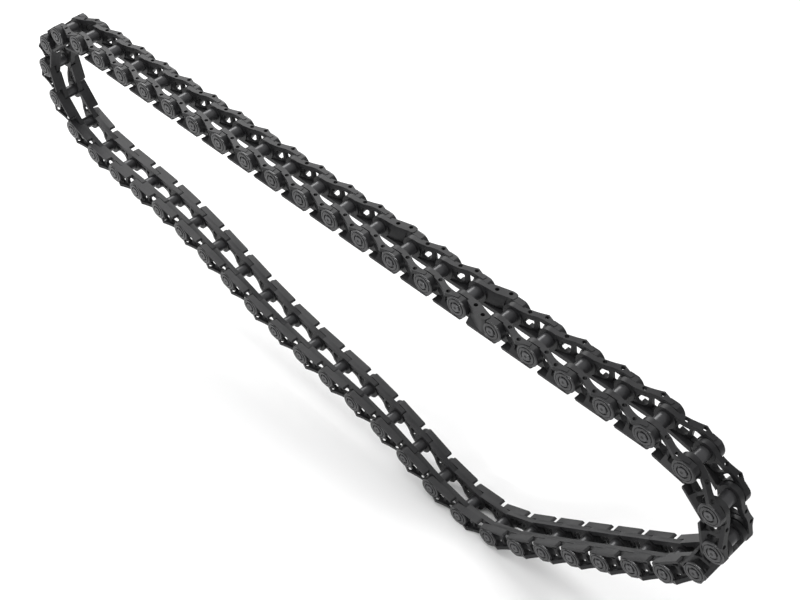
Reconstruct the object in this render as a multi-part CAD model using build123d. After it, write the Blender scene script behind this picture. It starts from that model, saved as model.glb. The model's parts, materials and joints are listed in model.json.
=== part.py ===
"""Closed crawler track chain: 52 offset-link sections, each with two links, a bushing, a pin and two seals.

X runs along the flat run, Y across the chain and Z up. The loop stands on its lowest corner, and the
origin is under the middle of its box. A link is drawn in its own frame: u along the chain from its
bushing axis to its pin axis, v out from the middle of the chain, w out of the loop towards the shoes.
"""
from build123d import *
import os
from math import cos, degrees, radians, sin

# Chain
pitch = 203.0
link_count = 52

# Link, measured from the pin axis and from the middle of the chain
pad_height = 52.5
pad_underside = 33.0
rail_depth = 59.5
rail_top = -38.0
rail_lip = 12.0
inner_face = 35.0
inner_ear_side = 62.0
outer_ear_face = 65.0
outer_side = 99.5
web_side = 70.0
flare_top = -8.0
inner_ear_radius = 52.2
outer_ear_radius = 57.0
outer_ear_top = 50.0
ear_chamfer = 4.0
end_radius = 64.0
clear_radius = 67.0
rail_overhang = 31.0
rail_notch_end = 61.0
rail_chamfer = 8.0
tail_reach = (34.0, 30.0)
tail_heights = (-55.5, -20.0)
beyond = 130.0

# Raised ring round each pin end
ring_outer = 41.0
ring_inner = 29.0
ring_face = 102.0
ring_chamfer = 1.5
ring_floor = 96.5
groove_radius = 44.0
groove_floor = 97.0

# Window below the first bolt, a round one with a flat nut seat over it, and the one beside the ear
window_centre = (80.0, -5.0)
window_radius = 26.0
window_rounding = 6.0
window_flare_start = 106.0
nut_seat = ((58.0, -5.0), (105.0, -5.0), (105.0, 22.0), (58.0, 22.0))
ear_window = ((116.0, 30.0), (174.0, 30.0), (160.0, -10.0), (146.0, -30.0), (124.0, -30.0))

# Shoe bolt holes, as (u, v)
bolt_radius = 10.0
bolt_depth = 42.5
bolt_places = ((75.0, 62.7), (148.0, 88.6))
master_bolt_places = ((86.5, 66.4), (147.5, 88.4))
master_bolt_depth = 45.0

# Pin, bushing and seals
pin_radius = 22.0
pin_half = 105.0
pin_chamfer = 2.0
plug_radius = 7.0
plug_depth = 6.0
plug_recess = 1.5
bushing_radius = 33.0
bushing_bore = 22.3
bushing_half = 62.0
seal_inner = 24.0
seal_outer = 33.5
seal_seat_radius = 34.0
seal_face = 62.6
seal_seat = 70.0

# The master joint: its pin draws out sideways, and its bushing is bored wide
master = 14
odd_link = 11
master_pin_radius = 21.7
master_pin_slack = 0.3
master_bushing_bore = 28.0

# Loop, clockwise from the left end of the flat run: (joints, degrees turned inwards at each), 360 in all
loop_turns = (
    (1, 10.6),   # last of the left idler
    (18, 0.0),   # flat run
    (1, 12.3),   # right idler
    (1, 31.5),
    (1, 31.9),
    (1, 31.4),
    (1, 25.9),
    (1, 9.0),
    (4, 0.3),    # slope down to the sprocket
    (1, 10.0),   # sprocket
    (1, 21.7),
    (1, 17.8),
    (1, 9.4),
    (1, -2.0),   # sag before the carrier roller
    (1, -5.65),
    (1, -6.05),
    (1, -0.2),
    (1, 2.9),    # carrier roller
    (1, 3.85),
    (1, 3.45),
    (1, 0.3),
    (1, -3.3),   # sag after it
    (1, -4.7),
    (1, -5.1),
    (1, -1.5),
    (1, 3.7),    # left idler
    (1, 14.7),
    (1, 29.5),
    (1, 29.2),
    (1, 29.6),
    (1, 29.2),
    (1, 29.5),
)


def loop_headings():
    """The direction of each section in radians, nudged until the loop closes. Straight runs stay so."""
    heading, headings = radians(loop_turns[0][1]), []
    for joints, turn in loop_turns:
        for _ in range(joints):
            heading -= radians(turn)
            headings.append(heading)
    for _ in range(8):
        gap_x = sum(cos(h) for h in headings)
        gap_z = sum(sin(h) for h in headings)
        ss = sum(sin(h) ** 2 for h in headings)
        cc = sum(cos(h) ** 2 for h in headings)
        sc = sum(sin(h) * cos(h) for h in headings)
        det = ss * cc - sc * sc
        a = (gap_x * cc + gap_z * sc) / det
        b = -(gap_x * sc + gap_z * ss) / det
        headings = [h + a * sin(h) + b * cos(h) for h in headings]
    return [h - headings[0] for h in headings]


def section_places(headings):
    """Where each section's frame goes: its bushing axis, with u turned along its heading."""
    places, x, z = [], 0.0, 0.0
    for heading in headings:
        places.append(Location((x, 0, z), (0, -degrees(heading), 0)))
        x += pitch * cos(heading)
        z += pitch * sin(heading)
    return places


def block(u0, u1, v0, v1, w0, w1):
    """A box between two corners."""
    size = (u1 - u0, v1 - v0, w1 - w0)
    return Pos((u0 + u1) / 2, (v0 + v1) / 2, (w0 + w1) / 2) * Box(*size)


def round_bar(u, radius, v0, v1):
    """A cylinder across the chain, between v0 and v1."""
    return Pos(u, (v0 + v1) / 2, 0) * Rot(90, 0, 0) * Cylinder(radius, abs(v1 - v0))


def slab(outline, w0, w1):
    """An outline in u and v, made solid from w0 to w1."""
    return Pos(0, 0, w0) * extrude(make_face(outline), w1 - w0)


def closed(*points):
    return Polyline(*points, close=True)


def turned(u, *profile):
    """A profile of (radius, v) points, turned about the axis across the chain at u."""
    return Pos(u, 0, 0) * revolve(make_face(closed(*profile)), Axis.Y)


def pad_outline():
    """The shoe pad in plan: both long edges sweep outwards to a peak beside the second bolt."""
    start, end, peak = (0, 37), (0, inner_ear_side), (145.0, 106.5)
    outer = Line(end, (20, 64)) + ThreePointArc((20, 64), (85, 80.5), peak)
    knuckle = Polyline(peak, (176, 96), (206, 88), (203, 70), (160, 69))
    inner = ThreePointArc((160, 69), (118, 62), (90, 50)) + ThreePointArc((90, 50), (66, 44), (36, 37))
    return outer + knuckle + inner + Polyline((36, 37), start, end)


def master_pad_outline():
    """The master pad in plan is a slanted strip, with a slanting end that stops short of the knuckle."""
    return closed(
        (0, 37), (60, 42), (96, 45), (148, 61), (177, 68), (181, 84),
        (175, 104), (164, 107), (148, 107), (85, 89), (60, 81), (20, inner_ear_side), (0, inner_ear_side),
    )


def master_web_outline():
    """The wall under the master pad is as thick as the pad is wide."""
    return closed(
        (20, 37), (60, 43), (96, 47), (148, 63), (177, 70), (pitch, 66), (pitch, 92),
        (175, 99), (164, 102), (148, 102), (85, 84), (60, 76), (20, inner_ear_side),
    )


def web_outline():
    """The upright wall in plan, which steps out from the inner ear to the outer ear."""
    return closed(
        (20, 37), (50, 43), (90, 53), (130, 66), (pitch, 66), (pitch, 92),
        (150, 85), (112, 79), (84, 69), (60, 63), (44, inner_ear_side), (20, inner_ear_side),
    )


def rail(flare_start):
    """The two strips that the rollers run on, side by side, and the flare from the web to the outer one."""
    inner = block(-rail_overhang, pitch, inner_face, inner_ear_side, -rail_depth, rail_top)
    lip_top = rail_lip - rail_depth
    outer = block(rail_notch_end, pitch + rail_overhang, inner_ear_side, outer_side, -rail_depth, lip_top)
    lower_ends = outer.edges().filter_by(Axis.Y).group_by(Axis.Z)[0]
    slope = make_face(closed(
        (inner_ear_side, lip_top), (outer_side, lip_top), (web_side, flare_top), (inner_ear_side, flare_top)))
    flare = Pos(flare_start, 0, 0) * extrude(Plane.YZ * slope, pitch - flare_start)
    return inner + chamfer(lower_ends, rail_chamfer) + flare


def window(corners):
    """A hole through the web with rounded corners, given as (u, w)."""
    hole = Pos(0, beyond, 0) * extrude(Plane.XZ * make_face(closed(*corners)), beyond - inner_face)
    return fillet(hole.edges().filter_by(Axis.Y), window_rounding)


def windows():
    u, w = window_centre
    return Pos(0, 0, w) * round_bar(u, window_radius, inner_face, beyond) + window(nut_seat) + window(ear_window)


def outer_ear():
    """The round ear that holds the pin: cut flat below the pad, with a raised ring and a tail to the rail."""
    ear = turned(
        pitch,
        (0, outer_ear_face), (outer_ear_radius, outer_ear_face),
        (outer_ear_radius, outer_side - ear_chamfer), (outer_ear_radius - ear_chamfer, outer_side),
        (groove_radius, outer_side), (groove_radius, groove_floor), (ring_outer, groove_floor),
        (ring_outer, ring_face - ring_chamfer), (ring_outer - ring_chamfer, ring_face),
        (ring_inner, ring_face), (ring_inner, ring_floor), (0, ring_floor),
    )
    near_end, far_end = tail_reach
    ear += block(pitch - near_end, pitch + far_end, outer_ear_face, outer_side - ear_chamfer, *tail_heights)
    return ear & block(0, 2 * pitch, 0, beyond, -pitch, outer_ear_top)


def link(solid_web=False):
    """One link of the side at +v, with its inner ear at u = 0 and its outer ear at u = pitch."""
    if solid_web:
        pad, web, strips = master_pad_outline(), master_web_outline(), rail(rail_notch_end)
        bolts, depth, bore = master_bolt_places, master_bolt_depth, pin_radius + master_pin_slack
    else:
        pad, web, strips = pad_outline(), web_outline(), rail(window_flare_start)
        bolts, depth, bore = bolt_places, bolt_depth, pin_radius
    body = slab(pad, pad_underside, pad_height) + slab(web, rail_top, pad_underside) + strips
    if not solid_web:
        body -= windows()
    body -= round_bar(pitch, clear_radius, 0, outer_ear_face)
    body -= round_bar(0, clear_radius, inner_ear_side, beyond)
    body += round_bar(0, inner_ear_radius, inner_face, inner_ear_side) + outer_ear()
    for u, v in bolts:
        body -= Pos(u, v, pad_height - depth / 2) * Cylinder(bolt_radius, depth)
    body = body & (round_bar(0, end_radius, 0, beyond) + block(0, 2 * pitch, 0, beyond, -pitch, pitch))
    body -= round_bar(0, bushing_radius, 0, beyond)
    body -= round_bar(pitch, seal_seat_radius, 0, seal_seat)
    return body - round_bar(pitch, bore, 0, beyond)


def bushing(bore):
    return round_bar(0, bushing_radius, -bushing_half, bushing_half) - round_bar(0, bore, -beyond, beyond)


def pin(radius):
    """A pin with chamfered ends and a shallow seat for the plug at each end."""
    bar = round_bar(pitch, radius, -pin_half, pin_half)
    bar = chamfer(bar.edges().filter_by(GeomType.CIRCLE), pin_chamfer)
    for side in (-1, 1):
        bar -= round_bar(pitch, plug_radius, side * (pin_half - plug_depth), side * (pin_half + 1))
    return bar


def plug(side):
    """The rubber plug in one end of a pin."""
    return round_bar(pitch, plug_radius, side * (pin_half - plug_depth), side * (pin_half - plug_recess))


def seal(side):
    """The ring between a bushing's end and the next outer ear."""
    ring = round_bar(pitch, seal_outer, side * seal_face, side * seal_seat)
    return ring - round_bar(pitch, seal_inner, -beyond, beyond)


def pair(shape):
    """A far piece and its near mirror image."""
    return [shape, mirror(shape, Plane.XZ)]


def section_nodes():
    """Each node's section number and its solids, in the section's own frame."""
    links, master_links = pair(link()), pair(link(solid_web=True))
    seals = [seal(side) for side in (-1, 1)]
    plugs = [plug(side) for side in (-1, 1)]
    joint_pieces = [pin(pin_radius)] + seals + plugs
    nodes = {}
    for k in range(link_count):
        name = f"section_{k:02d}"
        if k == master:
            nodes["master_link_far"] = k, master_links[:1]
            nodes["master_link_near"] = k, master_links[1:]
            nodes["master_link_bushing"] = k, [bushing(bushing_bore)]
            nodes["master_seals"] = k, seals
            nodes["master_pin"] = k, [pin(master_pin_radius)]
            nodes["master_pin_plugs"] = k, plugs
        elif k == master + 1:
            nodes[name] = k, links + joint_pieces
            nodes["master_bushing"] = k, [bushing(master_bushing_bore)]
        elif k == odd_link:
            nodes[name] = k, links[1:] + [bushing(bushing_bore)] + joint_pieces
            nodes["odd_link_far"] = k, master_links[:1]
        else:
            nodes[name] = k, links + [bushing(bushing_bore)] + joint_pieces
    return nodes


def main():
    """Writes one STEP file for each node."""
    headings = loop_headings()
    places = section_places(headings)
    nodes = section_nodes()
    whole = Compound([places[k] * shape for k, shapes in nodes.values() for shape in shapes])
    box = whole.bounding_box()
    centring = Pos(-(box.min.X + box.max.X) / 2, 0, -box.min.Z)
    os.makedirs("parts", exist_ok=True)
    for name, (k, shapes) in nodes.items():
        placed = [centring * places[k] * solid for shape in shapes for solid in shape.solids()]
        export_step(Compound(label=name, children=placed), f"parts/{name}.step")
    print("loop", round(box.size.X), "x", round(box.size.Y), "x", round(box.size.Z), "mm,", len(nodes), "nodes")
    for k in range(link_count):
        at = (centring * places[k]).position
        turn = degrees(headings[k - 1] - headings[k]) % 360
        print(k, round(at.X, 3), round(at.Z, 3), "turn", round((turn + 180) % 360 - 180, 3))


main()
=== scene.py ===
import bpy
import json
import math
import numpy as np
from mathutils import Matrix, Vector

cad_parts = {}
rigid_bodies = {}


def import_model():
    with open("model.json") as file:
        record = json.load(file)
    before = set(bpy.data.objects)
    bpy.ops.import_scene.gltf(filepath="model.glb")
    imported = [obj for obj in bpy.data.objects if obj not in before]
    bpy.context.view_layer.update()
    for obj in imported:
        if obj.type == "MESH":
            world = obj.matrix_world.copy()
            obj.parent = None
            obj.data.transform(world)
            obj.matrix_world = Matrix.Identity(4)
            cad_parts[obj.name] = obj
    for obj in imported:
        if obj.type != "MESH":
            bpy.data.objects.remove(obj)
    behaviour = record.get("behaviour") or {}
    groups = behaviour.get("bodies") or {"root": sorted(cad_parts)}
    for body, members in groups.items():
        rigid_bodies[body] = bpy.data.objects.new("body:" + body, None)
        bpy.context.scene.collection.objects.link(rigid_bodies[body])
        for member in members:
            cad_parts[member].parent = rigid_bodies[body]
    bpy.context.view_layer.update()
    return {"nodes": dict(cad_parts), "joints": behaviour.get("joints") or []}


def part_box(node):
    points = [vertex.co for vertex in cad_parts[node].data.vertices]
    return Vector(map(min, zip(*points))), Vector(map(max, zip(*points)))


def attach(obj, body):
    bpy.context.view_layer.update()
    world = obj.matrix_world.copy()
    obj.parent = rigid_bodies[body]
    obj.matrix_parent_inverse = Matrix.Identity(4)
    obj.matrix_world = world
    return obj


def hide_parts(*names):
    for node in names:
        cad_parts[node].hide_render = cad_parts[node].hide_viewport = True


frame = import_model()
print("frame loaded:", len(frame["nodes"]), "nodes")

# Shapes are drawn in millimetres in a section's own frame: u along the chain from its bushing to its pin,
# v across the chain from its middle, w out of the loop towards the shoes.
mm = 0.001
chain = {"oddLinkBefore": 3}
# points round each turned or drilled shape, and the angles that count as an edge
facets = {"ear": 64, "bore": 48, "pin": 40, "window": 32, "bolt": 20, "plug": 16, "corner": 4}
edgeAngle = {"bevelled": 30, "sharp": 40}


# Where each section lies, from the joints

pinPlace = {}
for joint in frame["joints"]:
    if joint["type"] == "hinge":
        ends = sorted(int(joint[side].split("_")[1]) for side in ("parent", "child"))
        key = 0 if ends[1] - ends[0] > 1 else ends[1]
        pinPlace[key] = np.array(joint["pos_m"])
low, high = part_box("master_pin")
masterSection = int(frame["joints"][-1]["parent"].split("_")[1])
pinPlace[masterSection + 1] = np.array([(low.x + high.x) / 2, 0, (low.z + high.z) / 2])
sectionCount = len(pinPlace)
pitch = float(np.linalg.norm(pinPlace[2] - pinPlace[1])) / mm
oddSection = masterSection - chain["oddLinkBefore"]
print("sections:", sectionCount, "pitch:", round(pitch, 2), "mm")


def sectionFrame(k):
    # columns are u, v and w in the standing chain; u points from this section's bushing to its pin
    along = pinPlace[(k + 1) % sectionCount] - pinPlace[k]
    along /= np.linalg.norm(along)
    return np.array([along, [0, 1, 0], [-along[2], 0, along[0]]]).T


# Curves and solids

def arc(start, middle, end, steps):
    # points on the circle through three points, evenly turned from start to end, without its last point
    a, b, c = (complex(*p) for p in (start, middle, end))
    w = (c - a) / (b - a)
    centre = (b - a) * (w - abs(w) ** 2) / (w - w.conjugate()) + a
    first, mid, last = (np.angle(p - centre) for p in (a, b, c))
    sweep = (last - first) % (2 * np.pi)
    if (mid - first) % (2 * np.pi) > sweep:
        sweep -= 2 * np.pi
    turn = first + sweep * np.arange(steps) / steps
    radius = abs(a - centre)
    return np.stack([centre.real + radius * np.cos(turn), centre.imag + radius * np.sin(turn)], 1)


def meshObject(name, points, faces):
    data = bpy.data.meshes.new(name)
    data.from_pydata(points.tolist(), [], faces)
    data.validate()
    made = bpy.data.objects.new(name, data)
    bpy.context.scene.collection.objects.link(made)
    return made


def ringFaces(rings, around, capped=True):
    # quads between neighbouring rings of points, and one flat face on the first and last ring
    here = (np.arange(rings - 1)[:, None] * around + np.arange(around)[None]).ravel()
    nextOne = (np.arange(rings - 1)[:, None] * around + (np.arange(around)[None] + 1) % around).ravel()
    quads = np.stack([here, nextOne, nextOne + around, here + around], 1).tolist()
    if not capped:
        return quads
    last = (rings - 1) * around
    return quads + [list(range(around))[::-1], list(range(last, last + around))]


def slab(outline, bottom, top):
    # the outline in u and v, anticlockwise, stood up from bottom to top
    rings = [np.column_stack([outline, np.full(len(outline), w)]) for w in (bottom, top)]
    return meshObject("slab", np.concatenate(rings), ringFaces(2, len(outline)))


def block(low, high):
    outline = np.array([(low[0], low[1]), (high[0], low[1]), (high[0], high[1]), (low[0], high[1])])
    return slab(outline, low[2], high[2])


def sideSlab(outline, near, far):
    # the outline in u and w, carried across the chain from near to far
    rings = [np.column_stack([outline[:, 0], np.full(len(outline), v), outline[:, 1]]) for v in (far, near)]
    return meshObject("sideSlab", np.concatenate(rings), ringFaces(2, len(outline)))


def turned(u, profile, around, closed=False):
    # a profile of (v, radius) turned about the axis at u: each point goes to radius * (cos, sin) at its own v
    v, radius = np.array(profile, float).T
    turn = np.arange(around) * 2 * np.pi / around
    rings = np.stack([
        u + radius[:, None] * np.cos(turn),
        np.repeat(v[:, None], around, 1),
        radius[:, None] * -np.sin(turn),
    ], 2)
    if closed:
        rings = np.concatenate([rings, rings[:1]])
        faces = ringFaces(len(v) + 1, around, capped=False)
        faces = [[i % (len(v) * around) for i in face] for face in faces]
        return meshObject("turned", rings[:-1].reshape(-1, 3), faces)
    return meshObject("turned", rings.reshape(-1, 3), ringFaces(len(v), around))


def upright(place, radius, bottom, top):
    around = facets["bolt"]
    turn = np.arange(around) * 2 * np.pi / around
    outline = np.array(place) + radius * np.column_stack([np.cos(turn), np.sin(turn)])
    return slab(outline, bottom, top)


def combine(base, tools, operation):
    for tool in tools:
        step = base.modifiers.new("combine", "BOOLEAN")
        step.operation = operation
        step.object = tool
        step.solver = "EXACT"
    data = bpy.data.meshes.new_from_object(base.evaluated_get(bpy.context.evaluated_depsgraph_get()))
    base.modifiers.clear()
    base.data = data
    for tool in tools:
        bpy.data.objects.remove(tool)
    return base


def softened(piece, width):
    # a narrow bevel on every edge that is sharp enough
    bevel = piece.modifiers.new("edges", "BEVEL")
    bevel.width = width
    bevel.segments = 1
    bevel.limit_method = "ANGLE"
    bevel.angle_limit = math.radians(edgeAngle["bevelled"])
    bevel.miter_outer = "MITER_SHARP"
    data = bpy.data.meshes.new_from_object(piece.evaluated_get(bpy.context.evaluated_depsgraph_get()))
    piece.modifiers.clear()
    piece.data = data
    return piece


def template(piece):
    # a finished shape as arrays, and the helper object removed
    data = piece.data
    points = np.empty(len(data.vertices) * 3)
    data.vertices.foreach_get("co", points)
    faces = [list(face.vertices) for face in data.polygons]
    bpy.data.objects.remove(piece)
    return points.reshape(-1, 3), faces


# The links

link = {
    "padTop": 52.5, "padUnderside": 33.0,
    "railTop": -38.0, "railFoot": -59.5, "lip": 12.0, "railChamfer": 8.0,
    "innerFace": 35.0, "innerSide": 62.0, "outerFace": 65.0, "outerSide": 99.5,
    "webSide": 70.0, "flareTop": -8.0,
    "innerEarRadius": 52.2, "outerEarRadius": 57.0, "outerEarTop": 50.0,
    "endRadius": 64.0, "clearRadius": 67.0,
    "railOverhang": 31.0, "notchEnd": 61.0, "tailReach": (34.0, 30.0), "tailHeights": (-55.5, -20.0),
    "boltRadius": 10.0, "boltPlaces": ((75.0, 62.7), (148.0, 88.6)), "boltDepth": 42.5,
    "masterBoltPlaces": ((86.5, 66.4), (147.5, 88.4)), "masterBoltDepth": 45.0,
    "windowCentre": (80.0, -5.0), "windowRadius": 26.0, "windowRounding": 6.0, "windowFlareStart": 106.0,
    "nutSeat": ((58, -5), (105, -5), (105, 22), (58, 22)),
    "earWindow": ((116, 30), (124, -30), (146, -30), (160, -10), (174, 30)),
    "sealSeatRadius": 34.0, "sealSeat": 70.0,
    "edge": 1.6, "far": 130.0, "cutStart": 20.0, "cutTop": 60.0,
    "overlap": 1.0, "tailOverlap": 3.0,
}


def padPlan():
    side = link["innerSide"]
    return np.concatenate([
        [(0, 37), (36, 37)],
        arc((36, 37), (66, 44), (90, 50), steps=4),
        arc((90, 50), (118, 62), (160, 69), steps=5),
        [(160, 69), (203, 70), (206, 88), (176, 96)],
        arc((145, 106.5), (85, 80.5), (20, 64), steps=7), [(20, 64), (0, side)],
    ])


def masterPadPlan():
    side = link["innerSide"]
    return np.array([
        (0, 37), (60, 42), (96, 45), (148, 61), (177, 68), (181, 84),
        (175, 104), (164, 107), (148, 107), (85, 89), (60, 81), (20, side), (0, side),
    ])


def masterWebPlan():
    # the wall under the master pad is as thick as the pad is wide
    return np.array([
        (20, 37), (60, 43), (96, 47), (148, 63), (177, 70), (pitch, 66), (pitch, 92),
        (175, 99), (164, 102), (148, 102), (85, 84), (60, 76), (20, link["innerSide"]),
    ])


def webPlan():
    side = link["innerSide"]
    return np.array([
        (20, 37), (50, 43), (90, 53), (130, 66), (pitch, 66), (pitch, 92),
        (150, 85), (112, 79), (84, 69), (60, 63), (44, side), (20, side),
    ])


def flare(start):
    # a wedge under the web: its section in v and w is carried along u from start to the ear
    side, lipTop = link["innerSide"], link["railFoot"] + link["lip"]
    section = np.array([
        (side, lipTop), (link["outerSide"], lipTop),
        (link["webSide"], link["flareTop"]), (side, link["flareTop"]),
    ])
    rings = [np.column_stack([np.full(4, u), section]) for u in (start, pitch)]
    return meshObject("flare", np.concatenate(rings), ringFaces(2, 4))


def rollerStrip():
    # the outer strip of the rail, with both of its lower ends chamfered
    start, end = link["notchEnd"], pitch + link["railOverhang"]
    foot, cut = link["railFoot"], link["railChamfer"]
    top = foot + link["lip"]
    outline = np.array([(start, top), (start, foot + cut), (start + cut, foot),
                        (end - cut, foot), (end, foot + cut), (end, top)])
    return sideSlab(outline, link["innerSide"] - link["overlap"], link["outerSide"])


def rounded(corners, radius):
    # each corner (anticlockwise) becomes an arc of the given radius that touches both of its sides
    corners = np.array(corners, float)
    steps = facets["corner"]
    outline = []
    for before, corner, after in zip(np.roll(corners, 1, 0), corners, np.roll(corners, -1, 0)):
        inward = (before - corner) / np.linalg.norm(before - corner)
        onward = (after - corner) / np.linalg.norm(after - corner)
        half = math.acos(np.clip(inward @ onward, -1, 1)) / 2
        centre = corner + (inward + onward) / np.linalg.norm(inward + onward) * radius / math.sin(half)
        first = corner + inward * radius / math.tan(half) - centre
        turn = (math.pi - 2 * half) * np.arange(steps + 1) / steps
        across = np.array([-first[1], first[0]])
        outline.append(centre + np.cos(turn)[:, None] * first + np.sin(turn)[:, None] * across)
    return np.concatenate(outline)


def windowCutters():
    u, w = link["windowCentre"]
    radius, rounding = link["windowRadius"], link["windowRounding"]
    turn = np.arange(facets["window"]) * 2 * np.pi / facets["window"]
    hole = np.column_stack([u + radius * np.cos(turn), w + radius * np.sin(turn)])
    outlines = [hole, rounded(link["nutSeat"], rounding), rounded(link["earWindow"], rounding)]
    return [sideSlab(outline, link["cutStart"], link["far"]) for outline in outlines]


def linkShape(solidWeb):
    foot, railTop, far = link["railFoot"], link["railTop"], link["far"]
    inner, innerSide, outer = link["innerFace"], link["innerSide"], link["outerFace"]
    clear, seat, overlap = link["clearRadius"], earFace["seat"], link["overlap"]
    around, boreAround = facets["ear"], facets["bore"]
    if solidWeb:
        pad, web, flareStart = masterPadPlan(), masterWebPlan(), link["notchEnd"]
        bolts, depth = link["masterBoltPlaces"], link["masterBoltDepth"]
        bore = pinSize["radius"] + masterSize["slack"]
    else:
        pad, web, flareStart = padPlan(), webPlan(), link["windowFlareStart"]
        bolts, depth = link["boltPlaces"], link["boltDepth"]
        bore = pinSize["radius"]
    body = slab(pad, link["padUnderside"], link["padTop"])
    adds = [
        slab(web, railTop - overlap, link["padUnderside"] + overlap),
        block((-link["railOverhang"], inner, foot), (pitch, innerSide, railTop)),
        rollerStrip(), flare(flareStart),
    ]
    combine(body, adds, "UNION")
    cuts = [] if solidWeb else windowCutters()
    cuts += [
        turned(pitch, [(0, clear), (outer, clear)], around),
        turned(0, [(innerSide, clear), (far, clear)], around),
    ]
    combine(body, cuts, "DIFFERENCE")
    nearEnd, farEnd = link["tailReach"]
    low, high = link["tailHeights"]
    ear = turned(pitch, [(outer, link["outerEarRadius"]), (seat, link["outerEarRadius"])], around)
    combine(ear, [block((0, 0, -pitch), (2 * pitch, far, link["outerEarTop"]))], "INTERSECT")
    ears = [
        turned(0, [(inner, link["innerEarRadius"]), (innerSide, link["innerEarRadius"])], around),
        ear, block((pitch - nearEnd, outer, low), (pitch + farEnd, seat + link["tailOverlap"], high)),
    ]
    combine(body, ears, "UNION")
    # the inner ear's end, rail included, is rounded about the bushing
    end = turned(0, [(-overlap, link["endRadius"]), (far, link["endRadius"])], around)
    combine(end, [block((0, -2 * overlap, -pitch), (2 * pitch, far, pitch))], "UNION")
    combine(body, [end], "INTERSECT")
    holes = [upright(place, link["boltRadius"], link["padTop"] - depth, link["cutTop"]) for place in bolts]
    holes += [
        turned(0, [(0, bushingSize["radius"]), (far, bushingSize["radius"])], boreAround),
        turned(pitch, [(0, link["sealSeatRadius"]), (link["sealSeat"], link["sealSeatRadius"])], boreAround),
        turned(pitch, [(0, bore), (far, bore)], facets["pin"]),
    ]
    combine(body, holes, "DIFFERENCE")
    return template(softened(body, link["edge"]))


earFace = {
    "seat": 92.0, "chamfer": 4.0, "grooveRadius": 44.0, "grooveFloor": 97.0,
    "ringOuter": 41.0, "ringInner": 29.0, "ringFace": 102.0, "ringChamfer": 1.5, "ringFloor": 96.5,
}


def earFaceShape():
    # the machined outer face of an ear: a chamfered disc, flat on top, with a groove and a raised ring
    side, ear, chamfer, seat = link["outerSide"], link["outerEarRadius"], earFace["chamfer"], earFace["seat"]
    groove, grooveFloor, ringFloor = earFace["grooveRadius"], earFace["grooveFloor"], earFace["ringFloor"]
    outer, inner, face, soft = (earFace[key] for key in ("ringOuter", "ringInner", "ringFace", "ringChamfer"))
    profile = [
        (seat, pinSize["radius"]), (seat, ear), (side - chamfer, ear), (side, ear - chamfer),
        (side, groove), (grooveFloor, groove), (grooveFloor, outer),
        (face - soft, outer), (face, outer - soft),
        (face, inner), (ringFloor, inner), (ringFloor, pinSize["radius"]),
    ]
    disc = turned(pitch, profile, facets["ear"], closed=True)
    top = link["outerEarTop"]
    combine(disc, [block((0, 0, -pitch), (2 * pitch, link["far"], top))], "INTERSECT")
    return template(softened(disc, link["edge"] / 2))


# Joint pieces

pinSize = {
    "radius": 22.0, "half": 105.0, "chamfer": 2.0, "tip": 0.1,
    "plugRadius": 7.0, "plugDepth": 6.0, "plugRecess": 1.5,
}
bushingSize = {"radius": 33.0, "bore": 22.3, "half": 62.0, "chamfer": 1.5}
sealSize = {"inner": 24.0, "outer": 33.5, "face": 62.6, "seat": 70.0, "lip": 1.4}
masterSize = {"pinRadius": 21.7, "bushingBore": 28.0, "slack": 0.3}


def barShape(radius):
    # a pin: chamfered ends, each with a shallow seat for its plug
    half, chamfer = pinSize["half"], pinSize["chamfer"]
    seat, depth = pinSize["plugRadius"], pinSize["plugDepth"]
    side = [
        (half - depth, pinSize["tip"]), (half - depth, seat),
        (half, seat), (half, radius - chamfer), (half - chamfer, radius),
    ]
    profile = [(-v, r) for v, r in side] + side[::-1]
    return template(turned(pitch, profile, facets["pin"]))


def tubeShape(u, inner, outer, start, end, chamfer):
    profile = [
        (start, inner), (start, outer - chamfer), (start + chamfer, outer),
        (end - chamfer, outer), (end, outer - chamfer), (end, inner),
    ]
    return template(turned(u, profile, facets["bore"], closed=True))


def plugShape(side):
    half = pinSize["half"]
    ends = sorted((side * (half - pinSize["plugDepth"]), side * (half - pinSize["plugRecess"])))
    profile = [(end, pinSize["plugRadius"]) for end in ends]
    return template(turned(pitch, profile, facets["plug"]))


def sealShape(side):
    ends = sorted((side * sealSize["face"], side * sealSize["seat"]))
    return tubeShape(pitch, sealSize["inner"], sealSize["outer"], ends[0], ends[1], sealSize["lip"])


# Placing a shape on a section

def mirrored(shape):
    points, faces = shape
    return points * (1, -1, 1), [face[::-1] for face in faces]


def joined(*shapes):
    points, faces, start = [], [], 0
    for somePoints, someFaces in shapes:
        points.append(somePoints)
        faces += [[i + start for i in face] for face in someFaces]
        start += len(somePoints)
    return np.concatenate(points), faces


def place(name, shape, k, body, material, nodes, slot):
    # each point is carried along the section's u, v and w from its bushing axis
    points, faces = shape
    spots = pinPlace[k] + (points * mm) @ sectionFrame(k).T
    piece = meshObject(name, spots, faces)
    piece.data.shade_smooth()
    piece.data.set_sharp_from_angle(angle=math.radians(edgeAngle["sharp"]))
    piece.data.materials.append(material)
    normals = piece.modifiers.new("normals", "WEIGHTED_NORMAL")
    normals.keep_sharp = True
    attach(piece, body)
    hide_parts(*nodes)


# Materials

class Socket:
    def __init__(self, maker, socket):
        self.maker, self.socket = maker, socket

    def math(self, operation, other, swapped=False):
        values = [other, self] if swapped else [self, other]
        return self.maker.node("ShaderNodeMath", {"operation": operation}, values)[0]

    def __add__(self, other):
        return self.math("ADD", other)

    def __radd__(self, other):
        return self.math("ADD", other, True)

    def __rmul__(self, other):
        return self.math("MULTIPLY", other, True)


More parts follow.
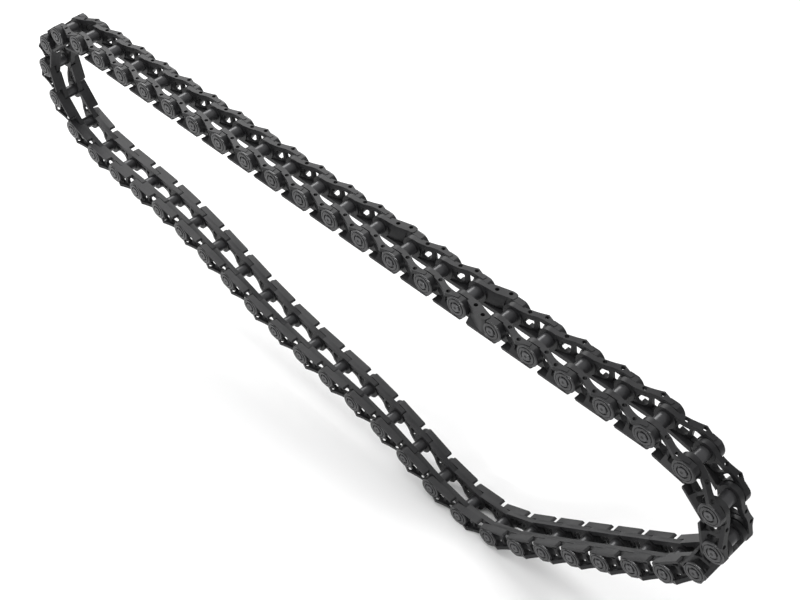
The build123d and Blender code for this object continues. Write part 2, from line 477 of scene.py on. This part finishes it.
class Finish:
    def __init__(self, name):
        self.material = bpy.data.materials.new(name)
        self.material.use_nodes = True
        self.tree = self.material.node_tree
        self.shader = self.tree.nodes["Principled BSDF"]

    def node(self, kind, settings=None, values=()):
        # the settings come first, then the socket values or links; the outputs come back wrapped
        made = self.tree.nodes.new(kind)
        for key, value in (settings or {}).items():
            setattr(made, key, value)
        pairs = values.items() if isinstance(values, dict) else enumerate(values)
        for key, value in pairs:
            self.feed(made.inputs[key], value)
        return [Socket(self, out) for out in made.outputs if out.enabled]

    def feed(self, target, value):
        if isinstance(value, Socket):
            self.tree.links.new(value.socket, target)
        else:
            target.default_value = value

    def mix(self, factor, first, second):
        return self.node("ShaderNodeMix", {"data_type": "RGBA"}, {0: factor, 6: first, 7: second})[0]

    def ramp(self, value, low, high):
        return self.node("ShaderNodeMapRange", {}, {"Value": value, "From Min": low, "From Max": high})[0]

    def noise(self, scale, detail):
        outputs = self.node("ShaderNodeTexCoord")
        spot = next(out for out in outputs if out.socket.name == "Object")
        return self.node("ShaderNodeTexNoise", {}, {
            "Vector": spot, "Scale": scale, "Detail": detail})[0]

    def bump(self, height, strength, distance):
        made = self.node("ShaderNodeBump", {}, {"Height": height, "Strength": strength, "Distance": distance})
        self.feed(self.shader.inputs["Normal"], made[0])


linkFinish = {
    "dark": (0.012, 0.012, 0.013, 1), "light": (0.024, 0.024, 0.025, 1), "smooth": 0.34, "rough": 0.50,
    "grain": 260.0, "blotch": 9.0, "grainShare": 0.25, "wornFrom": 0.45, "wornTo": 0.85,
    "bump": 0.16, "blotchBump": 0.5, "bumpDepth": 0.0006, "specular": 0.22,
}


def linkSteel():
    finish = Finish("blackForgedSteel")
    grain = finish.noise(linkFinish["grain"], detail=4)
    blotch = finish.noise(linkFinish["blotch"], detail=3)
    wear = blotch + linkFinish["grainShare"] * grain
    worn = finish.ramp(wear, linkFinish["wornFrom"], linkFinish["wornTo"])
    finish.feed(finish.shader.inputs["Base Color"], finish.mix(worn, linkFinish["dark"], linkFinish["light"]))
    spread = linkFinish["rough"] - linkFinish["smooth"]
    finish.feed(finish.shader.inputs["Roughness"], linkFinish["smooth"] + spread * grain)
    finish.shader.inputs["Specular IOR Level"].default_value = linkFinish["specular"]
    finish.bump(grain + linkFinish["blotchBump"] * blotch, linkFinish["bump"], linkFinish["bumpDepth"])
    return finish.material


def machinedFinish(name, values):
    # broad patches change the colour, and a fine grain the roughness and the bump
    finish = Finish(name)
    fine = finish.noise(values["fine"], detail=2)
    broad = finish.noise(values["broad"], detail=3)
    patches = finish.ramp(broad, values["patchFrom"], values["patchTo"])
    finish.feed(finish.shader.inputs["Base Color"], finish.mix(patches, values["dark"], values["light"]))
    spread = values["rough"] - values["smooth"]
    finish.feed(finish.shader.inputs["Roughness"], values["smooth"] + spread * fine)
    finish.shader.inputs["Metallic"].default_value = values["metallic"]
    finish.bump(fine, values["bump"], values["bumpDepth"])
    return finish.material


jointFinish = {
    "dark": (0.035, 0.035, 0.037, 1), "light": (0.065, 0.065, 0.068, 1), "smooth": 0.24, "rough": 0.36,
    "fine": 420.0, "broad": 14.0, "patchFrom": 0.35, "patchTo": 0.7,
    "metallic": 0.35, "bump": 0.08, "bumpDepth": 0.0002,
}
faceFinish = {
    "dark": (0.018, 0.018, 0.019, 1), "light": (0.034, 0.034, 0.036, 1), "smooth": 0.16, "rough": 0.26,
    "fine": 500.0, "broad": 18.0, "patchFrom": 0.35, "patchTo": 0.7,
    "metallic": 0.3, "bump": 0.06, "bumpDepth": 0.0002,
}
rubberFinish = {
    "dark": (0.012, 0.012, 0.012, 1), "light": (0.03, 0.03, 0.03, 1), "smooth": 0.55, "spread": 0.2,
    "speck": 600.0, "bump": 0.15, "bumpDepth": 0.0002,
}


def sealRubber():
    finish = Finish("sealRubber")
    speck = finish.noise(rubberFinish["speck"], detail=2)
    colour = finish.mix(speck, rubberFinish["dark"], rubberFinish["light"])
    finish.feed(finish.shader.inputs["Base Color"], colour)
    finish.feed(finish.shader.inputs["Roughness"], rubberFinish["smooth"] + rubberFinish["spread"] * speck)
    finish.bump(speck, rubberFinish["bump"], rubberFinish["bumpDepth"])
    return finish.material


forged, rubber = linkSteel(), sealRubber()
steel = machinedFinish("turnedSteel", jointFinish)
machined = machinedFinish("machinedEarFace", faceFinish)
print("materials made")

# The chain

farLink, farSolid = linkShape(False), linkShape(True)
nearLink, nearSolid = mirrored(farLink), mirrored(farSolid)
farFace = earFaceShape()
earFaces = joined(farFace, mirrored(farFace))
pin, masterPin = barShape(pinSize["radius"]), barShape(masterSize["pinRadius"])
half, chamfer = bushingSize["half"], bushingSize["chamfer"]
bush = tubeShape(0, bushingSize["bore"], bushingSize["radius"], -half, half, chamfer)
masterBush = tubeShape(0, masterSize["bushingBore"], bushingSize["radius"], -half, half, chamfer)
plugs = joined(plugShape(-1), plugShape(1))
seals = joined(sealShape(-1), sealShape(1))
print("shapes made: link faces", len(farLink[1]), "solid link faces", len(farSolid[1]))


def replacedNodes(k, body):
    # the CAD nodes that each piece of section k stands for
    if k == masterSection:
        return {"far": ["master_link_far"], "near": ["master_link_near"], "bush": ["master_link_bushing"],
                "pin": ["master_pin"], "seals": ["master_seals"], "plugs": ["master_pin_plugs"]}
    replaced = dict.fromkeys(("far", "near", "bush", "pin", "seals", "plugs"), [body])
    if k == oddSection:
        replaced["far"] = ["odd_link_far"]
    if k == masterSection + 1:
        replaced["bush"] = ["master_bushing"]
    return replaced


def placeSection(k):
    body = f"section_{k:02d}"
    tag = f"_{k:02d}"
    isMaster = k == masterSection
    replaced = replacedNodes(k, body)
    pinBody = "master_pin" if isMaster else body
    farShape = farSolid if isMaster or k == oddSection else farLink
    nearShape = nearSolid if isMaster else nearLink
    place("link_far" + tag, farShape, k, body, forged, replaced["far"], "link_steel")
    place("link_near" + tag, nearShape, k, body, forged, replaced["near"], "link_steel")
    place("ear_faces" + tag, earFaces, k, body, machined, replaced["near"], "link_steel")
    bushShape = masterBush if k == masterSection + 1 else bush
    place("bushing" + tag, bushShape, k, body, steel, replaced["bush"], "joint_steel")
    place("pin" + tag, masterPin if isMaster else pin, k, pinBody, steel, replaced["pin"], "joint_steel")
    if isMaster:
        place("seals" + tag, seals, k, body, rubber, replaced["seals"], "seal_rubber")
        place("plugs" + tag, plugs, k, pinBody, rubber, replaced["plugs"], "seal_rubber")
    else:
        both = joined(seals, plugs)
        place("seals_and_plugs" + tag, both, k, body, rubber, replaced["seals"], "seal_rubber")


for k in range(sectionCount):
    placeSection(k)
print("chain placed")

# Floor, light and camera

studio = {
    "floor": (0.88, 0.88, 0.88, 1), "sky": 0.55, "floorSize": 60.0, "floorDrop": 0.001, "floorRough": 0.8,
}
# glow is each lamp's radiance; place, aim and size are in metres
lamps = {
    "back": {"glow": 5.0, "place": (-5.2, 4.2, 5.6), "aim": (0, 0, 0.9), "size": (7.0, 4.0)},
    "top": {"glow": 2.4, "place": (0.0, -0.5, 8.0), "aim": (0, 0, 0), "size": (9.0, 5.0)},
    "glint": {"glow": 70.0, "place": (1.6, -5.4, 3.6), "aim": (0, 0, 1.2), "size": (5.0, 0.12)},
}


def floor():
    half = studio["floorSize"] / 2
    points = np.array([(-half, -half, 0), (half, -half, 0), (half, half, 0), (-half, half, 0)])
    piece = meshObject("floor", points - (0, 0, studio["floorDrop"]), [[0, 1, 2, 3]])
    finish = Finish("paleFloor")
    finish.shader.inputs["Base Color"].default_value = studio["floor"]
    finish.shader.inputs["Roughness"].default_value = studio["floorRough"]
    piece.data.materials.append(finish.material)


def areaLight(name, glow, place, aim, size):
    lamp = bpy.data.lights.new(name, "AREA")
    lamp.shape = "RECTANGLE"
    lamp.size, lamp.size_y = size
    lamp.energy = glow * math.pi * size[0] * size[1]
    made = bpy.data.objects.new(name, lamp)
    bpy.context.scene.collection.objects.link(made)
    made.location = place
    way = np.array(aim) - np.array(place)
    tilt = math.atan2(math.hypot(way[0], way[1]), -way[2])
    made.rotation_euler = (tilt, 0, math.atan2(way[1], way[0]) - math.pi / 2)


floor()
world = bpy.data.worlds.new("studio")
bpy.context.scene.world = world
world.use_nodes = True
world.node_tree.nodes["Background"].inputs["Color"].default_value = (1, 1, 1, 1)
world.node_tree.nodes["Background"].inputs["Strength"].default_value = studio["sky"]
for name, lamp in lamps.items():
    areaLight(name, **lamp)
bpy.context.scene.view_settings.view_transform = "Standard"

view = {
    "position": (3.7736, -3.0814, 5.6092), "angles": (45.474, 1.151, 45.825), "lens": 61.04, "sensor": 36,
}
camera = bpy.data.objects.new("camera", bpy.data.cameras.new("camera"))
bpy.context.scene.collection.objects.link(camera)
camera.location = view["position"]
camera.rotation_euler = [math.radians(a) for a in view["angles"]]
camera.data.lens = view["lens"]
camera.data.sensor_width = view["sensor"]
bpy.context.scene.camera = camera
print("stage, lights and camera made")
